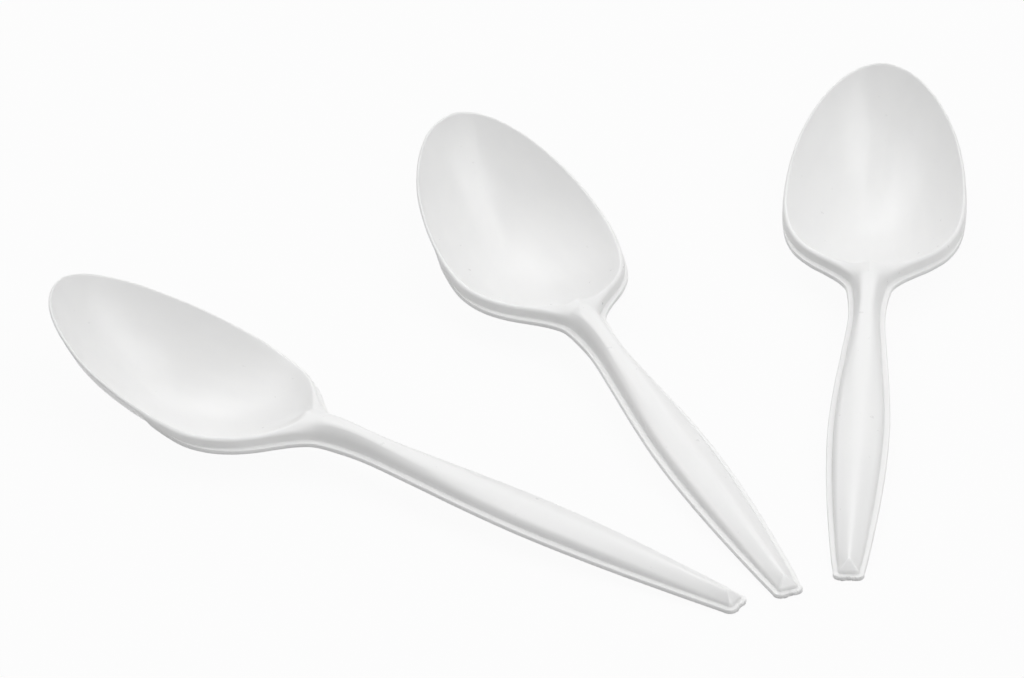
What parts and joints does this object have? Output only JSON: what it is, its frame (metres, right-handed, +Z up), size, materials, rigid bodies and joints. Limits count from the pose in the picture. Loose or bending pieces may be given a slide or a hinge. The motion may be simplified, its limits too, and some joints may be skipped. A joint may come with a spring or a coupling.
{
  "type": "plastic cutlery pack",
  "caption": "Disposable white plastic teaspoons with channel handles and flanged edges, lying fanned out bowl up.",
  "frame": {"origin": "middle of the fanned spoons' bounding box, on the surface that they lie on", "axes": "+Z up, +X to the right and +Y away from a viewer who stands at the handles' ends"},
  "size_m": [0.1728, 0.161, 0.0211],
  "materials": {
    "white_polystyrene": "moulded gloss"
  },
  "bodies": {
    "root": {"spoon_left": "white_polystyrene", "spoon_middle": "white_polystyrene", "spoon_right": "white_polystyrene"}
  },
  "joints": []
}
